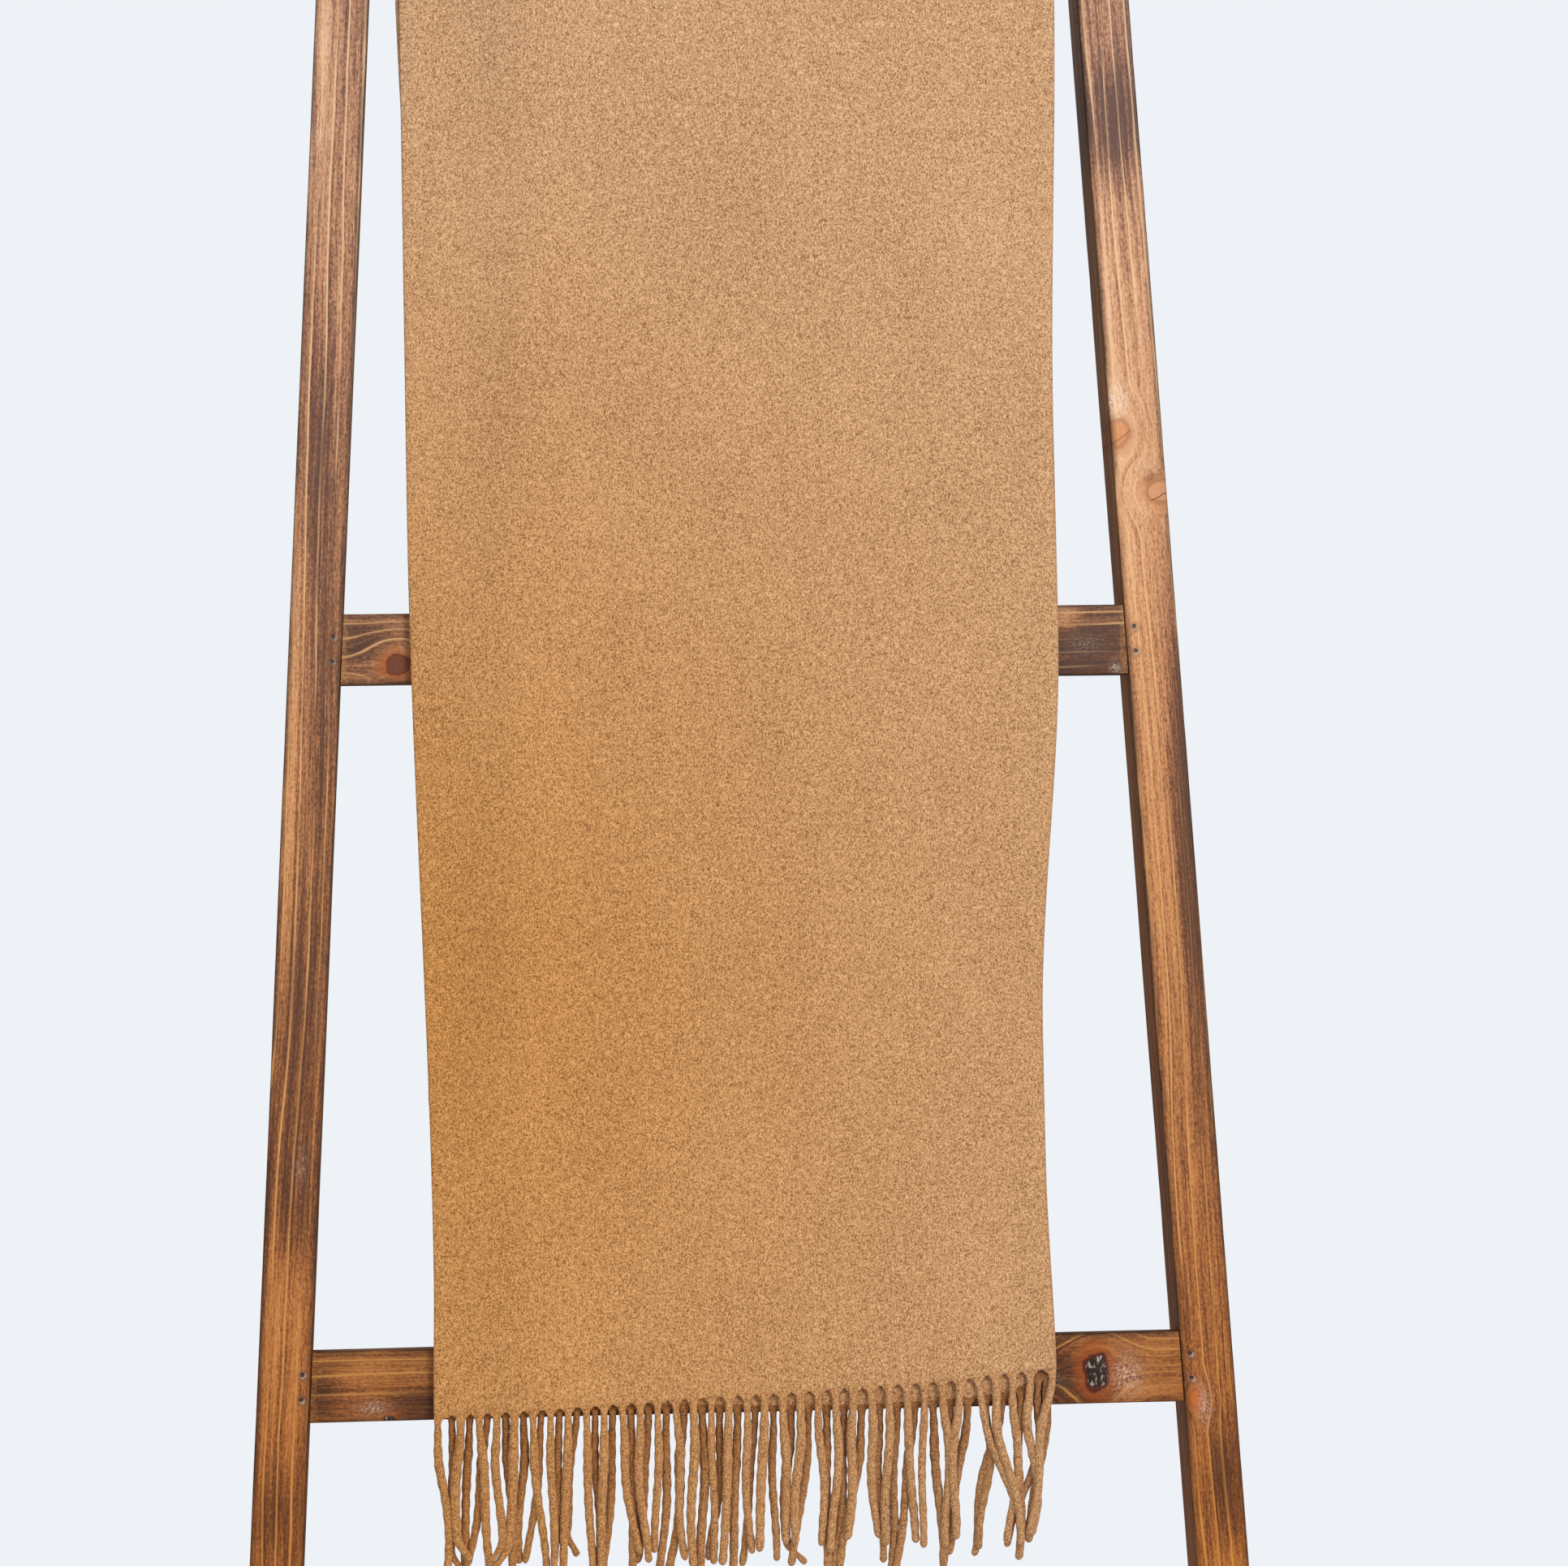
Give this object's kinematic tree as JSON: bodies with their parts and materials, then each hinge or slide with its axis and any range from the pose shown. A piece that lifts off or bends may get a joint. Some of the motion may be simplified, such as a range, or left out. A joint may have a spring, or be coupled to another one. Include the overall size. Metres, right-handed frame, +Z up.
{
  "type": "throw on a blanket ladder",
  "caption": "Fringed wool throw folded lengthwise and draped over the top rung of a leaning, tapered wooden blanket ladder.",
  "frame": {"origin": "on the floor, at the middle of the footprint between the feet and the wall that the ladder leans on", "axes": "+Z up, +Y towards the wall, +X to the right for someone who faces the throw"},
  "size_m": [0.6176, 0.2932, 1.4957],
  "materials": {
    "stained_pine": "stained and lightly scorched pine, satin oil, open grain",
    "brad_steel": "dull bright-drawn wire",
    "camel_wool": "brushed wool cloth with a short raised nap",
    "camel_fringe": "twisted wool tassels"
  },
  "bodies": {
    "ladder": {"rail_left": "stained_pine", "rail_right": "stained_pine", "rung_bottom": "stained_pine", "rung_lower": "stained_pine", "rung_middle": "stained_pine", "rung_top": "stained_pine", "brad_bottom_left_upper": "brad_steel", "brad_bottom_left_lower": "brad_steel", "brad_bottom_right_upper": "brad_steel", "brad_bottom_right_lower": "brad_steel", "brad_lower_left_upper": "brad_steel", "brad_lower_left_lower": "brad_steel", "brad_lower_right_upper": "brad_steel", "brad_lower_right_lower": "brad_steel", "brad_middle_left_upper": "brad_steel", "brad_middle_left_lower": "brad_steel", "brad_middle_right_upper": "brad_steel", "brad_middle_right_lower": "brad_steel", "brad_top_left_upper": "brad_steel", "brad_top_left_lower": "brad_steel", "brad_top_right_upper": "brad_steel", "brad_top_right_lower": "brad_steel"},
    "throw": {"throw": "camel_wool", "fringe_front": "camel_fringe", "fringe_back": "camel_fringe"}
  },
  "joints": [
    {"name": "throw_lift", "type": "slide", "parent": "ladder", "child": "throw", "axis": [0, 0, 1], "range_m": [0, 1.08]}
  ]
}
